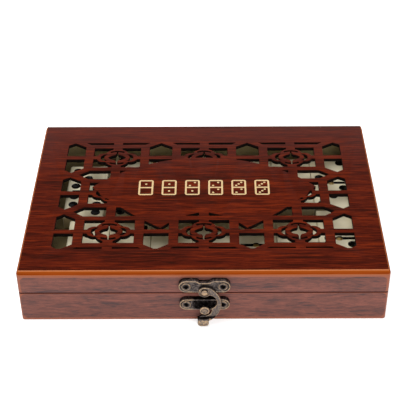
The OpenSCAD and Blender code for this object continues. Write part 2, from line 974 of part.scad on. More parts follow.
// Tab at the tail's foot, bent outwards, with two rounded corners.
module finger_tab() {
    foot_z = -hook_tail_z - hook_tail_r;
    tip_p = hook_face_p + tab_out;
    intersection() {
        translate([latch_x - hook_tail_x - tab_w / 2, front_y, seam + foot_z])
            rotate([90, 0, 90])
                linear_extrude(tab_w)
                    polygon([
                        [-hook_p, tab_h], [-hook_face_p, tab_h], [-tip_p, hook_t],
                        [-tip_p, 0], [hook_t - tip_p, 0], [-hook_p, hook_t]
                    ]);
        on_front(hook_p, tip_p)
            translate([-hook_tail_x, foot_z + tab_h])
                rounded_rect(tab_w, 2 * tab_h, tab_r);
    }
}

module latch_hook() {
    color("#6a563a")
    difference() {
        union() {
            on_front(hook_p, hook_face_p)
                hook_outline();
            finger_tab();
        }
        on_front(hook_p - lap, hook_face_p + lap)
            translate([0, pivot_z])
                circle(rivet_r + rivet_play);
    }
}

// ---- nodes ---------------------------------------------------------------

base_floor();
base_front_wall();
base_back_wall();
base_side_wall(-1);  // base_left_wall
base_side_wall(1);  // base_right_wall
lid_fret_panel();
lid_front_rail();
lid_back_rail();
lid_side_rail(-1);  // lid_left_rail
lid_side_rail(1);  // lid_right_rail
lid_emblem();
hinge_base_leaf(-1);  // hinge_left_base_leaf
hinge_lid_leaf(-1);  // hinge_left_lid_leaf
hinge_pin(-1);  // hinge_left_pin
hinge_base_leaf(1);  // hinge_right_base_leaf
hinge_lid_leaf(1);  // hinge_right_lid_leaf
hinge_pin(1);  // hinge_right_pin
hinge_screws(-1);  // hinge_base_screws
hinge_screws(1);  // hinge_lid_screws
latch_lid_plate();
latch_screws(keep_screw_z);  // latch_lid_screws
latch_pivot_rivet();
latch_hook();
latch_base_plate();
latch_screws(-strike_screw_z);  // latch_base_screws
latch_stud();
domino_spinners();
for (layer = [0, 1], row = [0, 1], col = [0:cols - 1])
    translate(domino_place(layer, row, col))
            domino(layout[layer][row][col]);
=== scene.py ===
from math import cos, pi, radians, sin

import bmesh
import bpy
import numpy as np
from mathutils import Matrix, Vector


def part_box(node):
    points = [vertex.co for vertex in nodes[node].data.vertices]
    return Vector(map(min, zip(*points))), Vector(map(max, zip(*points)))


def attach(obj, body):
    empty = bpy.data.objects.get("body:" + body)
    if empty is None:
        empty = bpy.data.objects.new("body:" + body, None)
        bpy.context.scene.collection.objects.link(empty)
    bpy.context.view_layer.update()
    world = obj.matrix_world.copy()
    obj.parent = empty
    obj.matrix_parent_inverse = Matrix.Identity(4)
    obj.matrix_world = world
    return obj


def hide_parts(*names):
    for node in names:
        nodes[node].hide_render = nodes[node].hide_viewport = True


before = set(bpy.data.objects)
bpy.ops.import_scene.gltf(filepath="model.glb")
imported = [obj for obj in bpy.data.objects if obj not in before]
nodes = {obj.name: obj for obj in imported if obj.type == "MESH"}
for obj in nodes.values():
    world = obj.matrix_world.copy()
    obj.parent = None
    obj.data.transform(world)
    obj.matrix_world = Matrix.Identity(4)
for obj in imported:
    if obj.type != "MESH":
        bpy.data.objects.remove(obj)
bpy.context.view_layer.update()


# ---- camera ---------------------------------------------------------------
# A long lens in front of the case and above it, looking down on the lid.
# Here and below the sizes of things are in millimetres, and MM makes them metres.

MM = 0.001
LENS, SENSOR = 93.07, 36
STAND = Vector((4.02, -499.74, 412.95)) * MM
HEADING, PITCH, ROLL = -0.00308, 0.66238, -0.00542

forward = Vector((sin(HEADING) * cos(PITCH), cos(HEADING) * cos(PITCH), -sin(PITCH)))
level = Vector((cos(HEADING), -sin(HEADING), 0))
lift = level.cross(forward)
right = cos(ROLL) * level + sin(ROLL) * lift
up = cos(ROLL) * lift - sin(ROLL) * level
lens = bpy.data.cameras.new("camera")
lens.lens = LENS
lens.sensor_width = SENSOR
lens.clip_start = 10 * MM
camera = bpy.data.objects.new("camera", lens)
turned_to_view = Matrix((right, up, -forward)).transposed().to_4x4()
camera.matrix_world = Matrix.Translation(STAND) @ turned_to_view
bpy.context.scene.collection.objects.link(camera)
bpy.context.scene.camera = camera
bpy.context.scene.view_settings.view_transform = "Standard"


# ---- studio ---------------------------------------------------------------
# A white room: a pale floor under the case, an even white world, one large
# soft lamp overhead and a weaker one in front. Its own sizes are in metres.

FILL = 0.42                             # what of the world's white lights the case
FLOOR_SIDE, FLOOR_PAINT, FLOOR_GLOW = 6, 0.9, 0.6
AIM = (0, 0, 0.02)                      # the middle of the case, which the lamps face


def worked_out(tree, operation, *values):
    """Result of a Math node on numbers and sockets."""
    node = tree.nodes.new("ShaderNodeMath")
    node.operation = operation
    for socket, value in zip(node.inputs, values):
        if isinstance(value, bpy.types.NodeSocket):
            tree.links.new(value, socket)
        else:
            socket.default_value = value
    return node.outputs[0]


def plain_room():
    """The world: strength 1 where it is seen or mirrored, FILL where it lights things."""
    world = bpy.data.worlds.new("room")
    world.use_nodes = True
    bpy.context.scene.world = world
    tree = world.node_tree
    tree.nodes.clear()
    rays = tree.nodes.new("ShaderNodeLightPath").outputs
    seen = worked_out(tree, "MAXIMUM", rays["Is Camera Ray"], rays["Is Glossy Ray"])
    seen = worked_out(tree, "MAXIMUM", seen, rays["Is Transmission Ray"])
    strength = worked_out(tree, "MULTIPLY_ADD", seen, 1 - FILL, FILL)
    light = tree.nodes.new("ShaderNodeBackground")
    light.inputs["Color"].default_value = (1, 1, 1, 1)
    tree.links.new(strength, light.inputs["Strength"])
    out = tree.nodes.new("ShaderNodeOutputWorld")
    tree.links.new(light.outputs[0], out.inputs[0])


def soft_lamp(name, place, size, power):
    """Rectangular lamp at place, turned to AIM and left out of reflections."""
    data = bpy.data.lights.new(name, "AREA")
    data.shape = "RECTANGLE"
    data.size, data.size_y = size
    data.energy = power
    lamp = bpy.data.objects.new(name, data)
    facing = (Vector(AIM) - Vector(place)).to_track_quat("-Z", "Y").to_matrix().to_4x4()
    lamp.matrix_world = Matrix.Translation(place) @ facing
    bpy.context.scene.collection.objects.link(lamp)
    lamp.visible_glossy = False


def pale_floor():
    """Matt white, lit a little for the camera alone, so that it shows white with a shadow."""
    bpy.ops.mesh.primitive_plane_add(size=FLOOR_SIDE)
    floor = bpy.context.object
    floor.name = "floor"
    paint = bpy.data.materials.new("floor")
    paint.use_nodes = True
    tree = paint.node_tree
    shader = tree.nodes["Principled BSDF"]
    shader.inputs["Base Color"].default_value = (*(FLOOR_PAINT,) * 3, 1)
    shader.inputs["Roughness"].default_value = 0.9
    shader.inputs["Specular IOR Level"].default_value = 0
    shader.inputs["Emission Color"].default_value = (1, 1, 1, 1)
    rays = tree.nodes.new("ShaderNodeLightPath").outputs
    glow = worked_out(tree, "MULTIPLY", rays["Is Camera Ray"], FLOOR_GLOW)
    tree.links.new(glow, shader.inputs["Emission Strength"])
    floor.data.materials.append(paint)


plain_room()
soft_lamp("lamp_over", (-0.25, 0.1, 1.1), (0.9, 0.7), 9)
soft_lamp("lamp_front", (0.35, -1.1, 0.55), (0.8, 0.6), 6)
pale_floor()


# ---- case -----------------------------------------------------------------
# Base and lid walls of glued fibreboard, printed with rosewood and lacquered.
# The edges are sanded through the print, so they show as thin, paler lines.

WALL_T, FLOOR_T, CORNER_R = 9, 3, 1.4
FOOT_R, SEAM_R, INNER_R = 0.6, 0.4, 0.3
PRINT_R = 2.7                           # corners of the printed area
# Widths of the paler bands round the print; on the lid it runs on past the seam.
FOOT_BAND, BASE_SEAM_BAND, BASE_END_BAND = 1.8, 0.7, 1
RAIL_TOP_BAND, RAIL_RUN_ON, RAIL_END_BAND = 1.2, 0.3, 1.8
SEAM_DARK, SEAM_SOLID = 0.65, 0.4       # reach of the dark line each way from the seam
SKIN = 1.5                              # faces nearer than this to the outside are printed
DOUBLE = 1e-7                           # points this near, in metres, are one
LONG_SIDE, SHORT_SIDE, BARE = range(3)
ROUND = np.linspace(0, pi / 2, 5)       # angles of a rounded edge

base_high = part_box("base_floor")[1]
rim_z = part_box("base_front_wall")[1].z / MM
rail_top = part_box("lid_front_rail")[1].z / MM
half = np.array([base_high.x, base_high.y]) / MM


class Wire:
    """A socket that can be calculated with: each operator adds the node that it stands for."""

    def __init__(self, finish, socket):
        self.finish = finish
        self.socket = socket

    def _math(self, operation, *values):
        return self.finish.node("Math", {"operation": operation}, dict(enumerate(values)))

    def __add__(self, other):
        return self._math("ADD", self, other)

    def __radd__(self, other):
        return self + other

    def __sub__(self, other):
        return self._math("SUBTRACT", self, other)

    def __rsub__(self, other):
        return self._math("SUBTRACT", other, self)

    def __mul__(self, other):
        return self._math("MULTIPLY", self, other)

    def __rmul__(self, other):
        return self * other

    def __abs__(self):
        return self._math("ABSOLUTE", self)

    def at_least(self, other):
        return self._math("MAXIMUM", self, other)

    def root(self):
        return self._math("SQRT", self)

    def step(self, low, high):
        """0 below low, 1 above high, smooth between; low above high turns it round."""
        return self.finish.node("MapRange", {"interpolation_type": "SMOOTHSTEP"},
                                {"Value": self, "From Min": low, "From Max": high})


class Finish:
    """A material on the Principled shader, on coordinates in millimetres."""

    def __init__(self, name, **constants):
        self.material = bpy.data.materials.new(name)
        self.material.use_nodes = True
        self.tree = self.material.node_tree
        self.shader = self.tree.nodes["Principled BSDF"]
        for socket, value in constants.items():
            self.shader.inputs[socket.replace("_", " ")].default_value = value
        metres = self.node("TexCoord", {}, {}, out="Object")
        self.place = self.node("VectorMath", {"operation": "SCALE"}, {0: metres, "Scale": 1 / MM})

    def node(self, kind, settings, inputs, out=0):
        """Adds a node: its settings first, ramp stops among them, then each socket's value
        or link."""
        node = self.tree.nodes.new("ShaderNode" + kind)
        for name, value in settings.items():
            if name == "stops":
                ramp = node.color_ramp.elements
                while len(ramp) < len(value):
                    ramp.new(1)
                for stop, (where, colour) in zip(ramp, value):
                    stop.position = where
                    stop.color = (*colour, 1)
            else:
                setattr(node, name, value)
        for name, value in inputs.items():
            socket = node.inputs[name]
            if isinstance(value, Wire):
                self.tree.links.new(value.socket, socket)
            else:
                socket.default_value = value
        return Wire(self, node.outputs[out])

    def axes(self):
        """The coordinates' three parts, in millimetres."""
        split = self.tree.nodes.new("ShaderNodeSeparateXYZ")
        self.tree.links.new(self.place.socket, split.inputs[0])
        return [Wire(self, part) for part in split.outputs]

    def stretch(self, *scales):
        return self.node("VectorMath", {"operation": "MULTIPLY"}, {0: self.place, 1: scales})

    def mark(self, name):
        """A value that the mesh carries at its corners."""
        return self.node("Attribute", {"attribute_name": name}, {}, out="Fac")

    def noise(self, place, scale, detail=4, roughness=0.5, distortion=0):
        return self.node("TexNoise", {}, {"Vector": place, "Scale": scale, "Detail": detail,
                                          "Roughness": roughness, "Distortion": distortion})

    def ramp(self, value, *stops):
        return self.node("ValToRGB", {"stops": stops}, {0: value})

    def mix(self, mask, a, b):
        """Colour a where mask is 0 and b where it is 1."""
        a, b = [c if isinstance(c, Wire) else (*c, 1) for c in (a, b)]
        return self.node("Mix", {"data_type": "RGBA"}, {0: mask, 6: a, 7: b}, out=2)

    def bump(self, height, distance, strength=1):
        """Relief: height 0 to 1 stands for distance metres."""
        self.wear({"Normal": self.node("Bump", {}, {"Strength": strength, "Distance": distance,
                                                    "Height": height})})

    def wear(self, sockets):
        """Links what varies over the surface to the shader."""
        for name, wire in sockets.items():
            self.tree.links.new(wire.socket, self.shader.inputs[name])


def srgb(r, g, b):
    """Linear colour of an 8-bit sRGB one."""
    c = np.array([r, g, b]) / 255
    return tuple(float(v) for v in np.where(c <= 0.04045, c / 12.92, ((c + 0.055) / 1.055) ** 2.4))


def rosewood(finish, across, dark, middle, light, curl=1):
    """Print of long streaks along X: broad bands, streaks and short dark pores, each a noise
    drawn out along the grain; across is the axis that they stack on, and curl makes the
    streaks shorter and more wavy."""
    bands, streaks, pores = [0.015 * curl] * 3, [0.05 * curl] * 3, [0.17 * curl] * 3
    bands[across], streaks[across], pores[across] = 0.2, 1.2, 3
    band = finish.noise(finish.stretch(*bands), 1, 2)
    lines = finish.noise(finish.stretch(*streaks), 1, 5, 0.6, 0.4 * curl)
    dashes = finish.noise(finish.stretch(*pores), 1, 3, 0.6, 0.8)
    tone = lines * 0.7 + band * 0.3
    colour = finish.ramp(tone, (0.37, dark), (0.49, middle), (0.63, light))
    return finish.mix(dashes.step(0.54, 0.68) * 0.65, colour, dark), tone


def printed_side(name, along, low, high, half_length):
    """Outer faces: rosewood print inside a rounded rectangle, from height low to high, and
    paler wood beyond it. The lacquer has gathered in a dark line along the seam."""
    finish = Finish(name, Roughness=0.4, Specular_IOR_Level=0.2)
    grain, tone = rosewood(finish, 2, srgb(83, 64, 64), srgb(124, 79, 70), srgb(147, 91, 79), 2.4)
    axes = finish.axes()
    wobble = finish.noise(finish.place, 0.35, 2) * 0.4
    middle, reach = (low + high) / 2, (high - low) / 2
    run = (abs(axes[along]) - half_length + PRINT_R).at_least(0)
    rise = (abs(axes[2] - middle) - reach + PRINT_R).at_least(0)
    edge = (run * run + rise * rise).root() - PRINT_R + wobble
    sanded = finish.mix(finish.noise(finish.place, 0.8), srgb(152, 88, 66), srgb(170, 104, 80))
    side = finish.mix(edge.step(0.1, 0.5), grain, sanded)
    seam = abs(axes[2] - rim_z - 0.15).step(SEAM_DARK, SEAM_SOLID)
    finish.wear({"Base Color": finish.mix(seam * 0.95, side, srgb(66, 15, 6))})
    finish.bump(tone, 0.00006, 0.5)
    return finish.material


def printed_sides(which, low, high, end_band):
    """The long and the short sides' materials, in the order of LONG_SIDE and SHORT_SIDE."""
    return [printed_side(which + "_" + side + "_side", along, low, high, half[along] - end_band)
            for along, side in enumerate(("long", "short"))]


def raw_board():
    """Bare fibreboard inside: dull olive brown, faintly speckled."""
    finish = Finish("raw_board", Roughness=0.85)
    speck = finish.noise(finish.place, 2.2, 5, 0.7)
    cloud = finish.noise(finish.place, 0.05, 3)
    finish.wear({"Base Color": finish.ramp(speck * 0.6 + cloud * 0.4, (0.35, srgb(152, 137, 100)),
                                           (0.65, srgb(188, 173, 130)))})
    finish.bump(speck, 0.00015, 0.4)
    return finish.material


def grid_faces(rows, columns):
    """Quads of a grid whose rows are closed loops: point (i, j) has index i * columns + j."""
    i, j = np.meshgrid(np.arange(rows - 1), np.arange(columns), indexing="ij")
    here, there = i * columns, (i + 1) * columns
    k = (j + 1) % columns
    return np.stack([here + j, here + k, there + k, there + j], -1).reshape(-1, 4)


def rounded_loop(inset, height, steps=6):
    """Loop round the case at an inset from its outer face: four corner arcs whose radius
    is what the inset leaves of CORNER_R, joined by straight sides."""
    turn = np.linspace(0, pi / 2, steps + 1)
    loop = []
    for k, corner in enumerate(((1, 1), (-1, 1), (-1, -1), (1, -1))):
        centre = (half - max(CORNER_R, inset)) * corner
        angle = turn + k * pi / 2
        arc = max(CORNER_R - inset, 0) * np.stack([np.cos(angle), np.sin(angle)], -1)
        loop.append(centre + arc)
    loop = np.concatenate(loop)
    return np.column_stack([loop, np.full(len(loop), height)])


def faces_of(mesh):
    """Every face's middle, in millimetres, and its normal."""
    middles, normals = np.empty((2, 3 * len(mesh.polygons)))
    mesh.polygons.foreach_get("center", middles)
    mesh.polygons.foreach_get("normal", normals)
    return middles.reshape(-1, 3) / MM, normals.reshape(-1, 3)


def finish_mesh(name, mesh, materials, sharp=35):
    """Merges doubles, turns faces outward, shades by angle and gives the object its
    materials. Faces that are square to an axis stay flat."""
    work = bmesh.new()
    work.from_mesh(mesh)
    bmesh.ops.remove_doubles(work, verts=work.verts, dist=DOUBLE)
    bmesh.ops.recalc_face_normals(work, faces=work.faces)
    work.to_mesh(mesh)
    work.free()
    _, normals = faces_of(mesh)
    mesh.polygons.foreach_set("use_smooth", np.abs(normals).max(1) < 0.9999)
    mesh.set_sharp_from_angle(angle=radians(sharp))
    piece = bpy.data.objects.new(name, mesh)
    bpy.context.scene.collection.objects.link(piece)
    for material in materials:
        mesh.materials.append(material)
    return piece


def case_shell(name, profile, materials):
    """Closed band or tray: the (inset, height) profile carried round the case. The first and
    last loops are closed with flat faces, or joined to each other where they are the same."""
    loops = np.stack([rounded_loop(*p) for p in profile])
    count = loops.shape[1]
    faces = grid_faces(len(profile), count).tolist()
    if profile[0] != profile[-1]:
        faces.append(list(range(count)))
        faces.append(list(range((len(profile) - 1) * count, len(profile) * count)))
    mesh = bpy.data.meshes.new(name)
    mesh.from_pydata((loops.reshape(-1, 3) * MM).tolist(), [], faces)
    piece = finish_mesh(name, mesh, materials)
    middles, normals = faces_of(mesh)
    outside = (np.abs(middles[:, :2]) > half - SKIN).any(1)
    short = np.abs(normals[:, 0]) > np.abs(normals[:, 1])
    kind = np.where(outside, np.where(short, SHORT_SIDE, LONG_SIDE), BARE)
    mesh.polygons.foreach_set("material_index", kind.astype(np.int32))
    return piece


inside = raw_board()
tray_profile = (
    [(FOOT_R - FOOT_R * sin(t), FOOT_R - FOOT_R * cos(t)) for t in ROUND]
    + [(SEAM_R - SEAM_R * cos(t), rim_z - SEAM_R + SEAM_R * sin(t)) for t in ROUND]
    + [(WALL_T - INNER_R + INNER_R * sin(t), rim_z - INNER_R + INNER_R * cos(t)) for t in ROUND]
    + [(WALL_T, FLOOR_T)])
base_walls = case_shell(
    "base_case", tray_profile,
    printed_sides("base", FOOT_BAND, rim_z - BASE_SEAM_BAND, BASE_END_BAND) + [inside])
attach(base_walls, "base")
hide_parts("base_floor", "base_front_wall", "base_back_wall", "base_left_wall",
            "base_right_wall")

rail_profile = (
    [(WALL_T, rail_top)]
    + [(WALL_T - INNER_R + INNER_R * cos(t), rim_z + INNER_R - INNER_R * sin(t)) for t in ROUND]
    + [(SEAM_R - SEAM_R * sin(t), rim_z + SEAM_R - SEAM_R * cos(t)) for t in ROUND]
    + [(0, rail_top), (WALL_T, rail_top)])
lid_rails = case_shell(
    "lid_rails", rail_profile,
    printed_sides("lid", rim_z - RAIL_RUN_ON, rail_top - RAIL_TOP_BAND, RAIL_END_BAND)
    + [inside])
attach(lid_rails, "lid")
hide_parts("lid_front_rail", "lid_back_rail", "lid_left_rail", "lid_right_rail")


# ---- fretwork panel -------------------------------------------------------
# Printed board, laser cut: the cut walls are charred black, the top edge is
# eased a little, and the lacquered chamfer round the outside is orange.

EASE, CHAMFER_W = 0.15, 1.1
RIM_LINE = 0.5                          # width of the black line on top, inside the chamfer
SLACK = 0.2                             # faces this much further in still are the chamfer's
LEVEL = 1e-4                            # how flat a face is that is eased
BLUNTEST = 0.35                         # limit to how far a sharp corner's mitre reaches
TOP, CHAMFER, SAWN, CUT, UNDER = range(5)


def welded(node):
    """Corners and triangles of a CAD node with its doubles merged, in millimetres."""
    work = bmesh.new()
    work.from_mesh(nodes[node].data)
    bmesh.ops.remove_doubles(work, verts=work.verts, dist=DOUBLE)
    bmesh.ops.triangulate(work, faces=work.faces)
    work.verts.index_update()
    points = np.array([v.co for v in work.verts]) / MM
    triangles = np.array([[v.index for v in f.verts] for f in work.faces])
    work.free()
    return points, triangles


def eased(points, triangles, level, profile, turn=np.eye(3)):
    """Rounds the edges of the flat face at height level. Each corner of its border moves into
    the face along the mitre of its two edges: profile(corners) gives rows of (inset, drop) for
    every corner, from the wall to the face. turn brings the wanted face upright. The results
    are the points, the triangles, the quads of the rounded strips, and the row that each
    point lies on, or -1."""
    points = points @ turn.T
    flat = np.abs(points[triangles][:, :, 2] - level).max(1) < LEVEL
    edges = np.concatenate([triangles[flat][:, [a, (a + 1) % 3]] for a in range(3)])
    span = len(points)
    code = edges[:, 0] * span + edges[:, 1]
    border = edges[~np.isin(code, edges[:, 1] * span + edges[:, 0])]
    along = points[border[:, 1], :2] - points[border[:, 0], :2]
    along /= np.linalg.norm(along, axis=1)[:, None]
    inward = np.column_stack([-along[:, 1], along[:, 0]])
    before, after = np.zeros((span, 2)), np.zeros((span, 2))
    after[border[:, 0]] = inward
    before[border[:, 1]] = inward
    rim = np.unique(border)
    mitre = before[rim] + after[rim]
    mitre /= np.maximum(1 + (before[rim] * after[rim]).sum(1), BLUNTEST)[:, None]
    rings = []
    for inset, drop in profile(points[rim]):
        ring = points[rim].copy()
        ring[:, :2] += mitre * np.broadcast_to(inset, len(rim))[:, None]
        ring[:, 2] = level - np.broadcast_to(drop, len(rim))
        rings.append(ring)
    place = np.zeros(span, int)
    place[rim] = np.arange(len(rim))
    points[rim] = rings[0]
    row = np.concatenate([np.full(span, -1)]
                         + [np.full(len(rim), k) for k in range(1, len(rings))])
    row[rim] = 0
    start = span + np.arange(len(rings) - 1) * len(rim)
    index = [rim] + [s + np.arange(len(rim)) for s in start]
    triangles = triangles.copy()
    top = triangles[flat]
    on_rim = np.isin(top, rim)
    top[on_rim] = index[-1][place[top[on_rim]]]
    triangles[flat] = top
    a, b = place[border[:, 0]], place[border[:, 1]]
    strips = np.concatenate([np.column_stack([low[a], low[b], high[b], high[a]])
                             for low, high in zip(index, index[1:])])
    return np.concatenate([points] + rings[1:]) @ turn, triangles, strips, row


def round_rows(radius, angles=ROUND):
    """Rows of a quarter-round edge: at each angle the inset is the radius less its cosine
    part, and the drop the radius less its sine part."""
    return [(radius * (1 - cos(a)), radius * (1 - sin(a))) for a in angles]


def mesh_of(name, points, triangles, strips):
    """Mesh of the eased points, in metres, with the triangles and the strips' quads."""
    mesh = bpy.data.meshes.new(name)
    mesh.from_pydata((points * MM).tolist(), [], triangles.tolist() + strips.tolist())
    return mesh


def marked(mesh, name, values):
    """Gives every point of the mesh a value that its material can read."""
    carried = mesh.attributes.new(name, "FLOAT", "POINT")
    carried.data.foreach_set("value", np.asarray(values, np.float32))
    return mesh


def panel_top():
    """Greyer brown towards the back, a painted sheen that stands for the lacquer's reflection
    there, with a black line along the sawn edge."""
    finish = Finish("panel_top", Roughness=0.5, Specular_IOR_Level=0.02)
    grain, tone = rosewood(finish, 1, srgb(44, 14, 6), srgb(77, 23, 11), srgb(112, 38, 15), 1.4)
    x, y, _ = finish.axes()
    # Painted sheen: the print greys towards the back, standing for the lacquer's reflection.
    painted_sheen = finish.mix(y.step(10, 68) * 0.42, grain, srgb(84, 50, 46))
    past_x, past_y = [abs(a) - h + CHAMFER_W + RIM_LINE for a, h in ((x, half[0]), (y, half[1]))]
    rim = past_x.at_least(past_y)
    finish.wear({"Base Color": finish.mix(rim.step(0, 0.35) * 0.75, painted_sheen, srgb(40, 8, 4))})
    finish.bump(tone, 0.00005, 0.4)
    return finish.material


def lacquered_chamfer():
    """Orange lacquer, paler towards its upper edge, with a painted highlight along that edge."""
    finish = Finish("orange_chamfer", Roughness=0.5, Specular_IOR_Level=0)
    cloud = finish.noise(finish.stretch(0.05, 0.05, 0.5), 1, 4)
    orange = finish.ramp(cloud, (0.3, srgb(137, 55, 12)), (0.7, srgb(153, 65, 17)))
    height = finish.axes()[2]
    thin = finish.mix(height.step(top_z - 1.9, top_z - 0.6), orange, srgb(162, 77, 24))
    # Painted highlight: a pale line along the chamfer's upper edge.
    edge_highlight = height.step(top_z - 0.55, top_z - 0.3)
    finish.wear({"Base Color": finish.mix(edge_highlight * 0.7, thin, srgb(212, 138, 94))})
    return finish.material


def sanded_edge():
    """Side of the board under the chamfer, sanded to a paler brown."""
    finish = Finish("sanded_edge", Roughness=0.45, Specular_IOR_Level=0.25)
    cloud = finish.noise(finish.stretch(0.1, 0.1, 1.5), 1, 4)
    finish.wear({"Base Color": finish.ramp(cloud, (0.3, srgb(157, 84, 44)),
                                           (0.7, srgb(175, 100, 58)))})
    return finish.material


def charred_cut():
    """Walls that the laser burnt, streaked from top to bottom."""
    finish = Finish("charred_cut", Roughness=0.8, Specular_IOR_Level=0.1)
    streak = finish.noise(finish.stretch(3, 3, 0.4), 1, 3)
    finish.wear({"Base Color": finish.ramp(streak, (0.35, srgb(8, 6, 5)),
                                           (0.75, srgb(26, 16, 11)))})
    finish.bump(streak, 0.00008, 0.5)
    return finish.material


points, triangles = welded("lid_fret_panel")
top_z = points[:, 2].max()
points, triangles, strips, _ = eased(points, triangles, top_z,
                                     lambda corners: round_rows(EASE, ROUND[::2]))
panel = finish_mesh("fret_panel", mesh_of("fret_panel", points, triangles, strips),
                    [panel_top(), lacquered_chamfer(), sanded_edge(), charred_cut(), inside], 30)
middles, normals = faces_of(panel.data)
outside = (np.abs(middles[:, :2]) > half - CHAMFER_W - SLACK).any(1)
rising = normals[:, 2]
kind = np.select([(rising > 0.95) | ~outside & (rising > 0.1), rising < -0.9,
                  outside & (rising > 0.1), outside], [TOP, UNDER, CHAMFER, SAWN], CUT)
panel.data.polygons.foreach_set("material_index", kind.astype(np.int32))
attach(panel, "lid")
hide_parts("lid_fret_panel")


# ---- gold mark ------------------------------------------------------------
# A row of six little dominoes on the solid middle of the lid, in gold foil
# that is stamped hot onto the lacquer.

def gold_foil():
    """Pale gold, a little flaky."""
    finish = Finish("gold_foil", Roughness=0.45, Metallic=0.25)
    flake = finish.noise(finish.place, 1.5, 3)
    finish.wear({"Base Color": finish.ramp(flake, (0.3, srgb(212, 176, 120)),
                                           (0.7, srgb(234, 206, 156)))})
    finish.bump(flake, 0.00003, 0.4)
    return finish.material


nodes["lid_emblem"].data.materials.clear()
nodes["lid_emblem"].data.materials.append(gold_foil())


# ---- dominoes -------------------------------------------------------------
# A double-six set of cast ivory plastic with soft edges, packed in two layers.
# Pips and the middle line are moulded in and filled with black paint; a brass
# pin sits in the middle of each.

TILE_EDGE, PIP_EDGE, LINE_EDGE = 0.6, 0.15, 0.4
LINE_REACH = 1                          # the middle line lies this near to a tile's middle
OUTLINE = 1.3                           # what is nearer than this to a side is its outline
PAINT_TOP, PAINT_LOW = 0.06, 1          # paint starts so far below the top, above the foot
IVORY, PAINT = range(2)
FLIP = np.diag([1.0, -1.0, -1.0])


def ivory():
    """Ivory, browner where the mesh's side mark says that it is near a side."""
    finish = Finish("ivory", Roughness=0.35, Specular_IOR_Level=0.35)
    cloud = finish.noise(finish.place, 0.06, 3)
    bone = finish.ramp(cloud, (0.3, srgb(234, 224, 192)), (0.7, srgb(246, 238, 211)))
    side_brown = finish.mark("side").step(0.3, 1) * 0.7
    finish.wear({"Base Color": finish.mix(side_brown, bone, srgb(150, 126, 72))})
    return finish.material


def pip_paint():
    """Smooth black with a soft gloss."""
    finish = Finish("pip_paint", Roughness=0.22, Specular_IOR_Level=0.15)
    cloud = finish.noise(finish.place, 0.4, 2)
    finish.wear({"Base Color": finish.ramp(cloud, (0.3, srgb(5, 5, 5)), (0.7, srgb(13, 13, 12)))})
    return finish.material


def brass(name, dark, light):
    """Bare brass, clouded between two tones."""
    finish = Finish(name, Metallic=1, Roughness=0.35)
    cloud = finish.noise(finish.place, 0.8, 3)
    finish.wear({"Base Color": finish.ramp(cloud, (0.3, dark), (0.7, light))})
    return finish.material


def domino(name, finishes):
    """The CAD tile with its edges rounded: widely at the outline and the foot, narrowly at
    the pips and the pin, and in between at the middle line."""
    points, triangles = welded(name)
    low, high = points.min(0), points.max(0)

    def from_side(places):
        return np.minimum(places - low, high - places)[:, :2].min(1)

    def top_rows(corners):
        at_line = abs(corners[:, 1] - (low[1] + high[1]) / 2) < LINE_REACH
        inner = np.where(at_line, LINE_EDGE, PIP_EDGE)
        return round_rows(np.where(from_side(corners) < OUTLINE, TILE_EDGE, inner))

    def foot_rows(corners):
        return round_rows(TILE_EDGE)

    points, triangles, top_strips, _ = eased(points, triangles, high[2], top_rows)
    points, triangles, foot_strips, _ = eased(points, triangles, -low[2], foot_rows, FLIP)
    mesh = mesh_of(name, points, triangles, np.concatenate([top_strips, foot_strips]))
    marked(mesh, "side", 1 - from_side(points) / TILE_EDGE)
    tile = finish_mesh(name + ".piece", mesh, finishes, 40)
    middles, _ = faces_of(tile.data)
    height = middles[:, 2]
    sunk = (height < high[2] - PAINT_TOP) & (height > low[2] + PAINT_LOW)
    kind = np.where(sunk & (from_side(middles) > OUTLINE), PAINT, IVORY)
    tile.data.polygons.foreach_set("material_index", kind.astype(np.int32))
    return tile


tile_finishes = [ivory(), pip_paint()]
for name in sorted(n for n in nodes if n.startswith("domino_") and n != "domino_spinners"):
    tile = domino(name, tile_finishes)
    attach(tile, "base")
    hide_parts(name)

nodes["domino_spinners"].data.materials.clear()
nodes["domino_spinners"].data.materials.append(
    brass("spinner_brass", srgb(170, 138, 80), srgb(226, 196, 136)))


# ---- latch ----------------------------------------------------------------
# Two die-cast plates screwed to the front, a swing hook on the upper one's rivet
# and a stud on the lower: antique bronze, with a black wash in the hollows and
# rubbed pale on rims and finger tab. Painted shade darkens the lower plate's middle
# under the hook and the crease above the tab, and a painted highlight lightens the tab.

FRONT = np.array([[1.0, 0, 0], [0, 0, 1], [0, -1, 0]])
WALL = -0.5                             # rub of a piece's walls, which stay dark
# Plates: (inset, drop) rows of the rim and of the collars, and the rim's rub.
RIM = [(0, 0.3), (0.09, 0.09), (0.25, 0), (0.45, 0), (0.7, 0.25), (0.85, 0.45)]
COLLAR = [(0, 0.1), (0.08, 0.02), (0.15, 0), (0.28, 0), (0.4, 0.25), (0.5, 0.45)]
RUBBED = np.array([0.1, 0.8, 1, 0.9, 0.3, 0])
SUNK = 0.45
PLATE_SCREW_X, COLLAR_REACH, SHANK_REACH = 9.9, 2.3, 2
STUD_BOSS, BOSS_RIM = 4, 0.75           # the rim is narrower this near to the stud
LATCH_HEAD_R, HEAD_EASE, CROSS_EASE = 2.1, 0.3, 0.06
STUD_R, NECK_R, HEAD_T = 2.7, 1.8, 1.6
RIVET_R, RIVET_HEAD_R, RIVET_HEAD_H = 1.0, 1.9, 1.2
HOOK_T, HOOK_EASE, TAB_H = 1.4, 0.4, 4.2
DISH, DISH_DEPTH = 1.5, 0.5


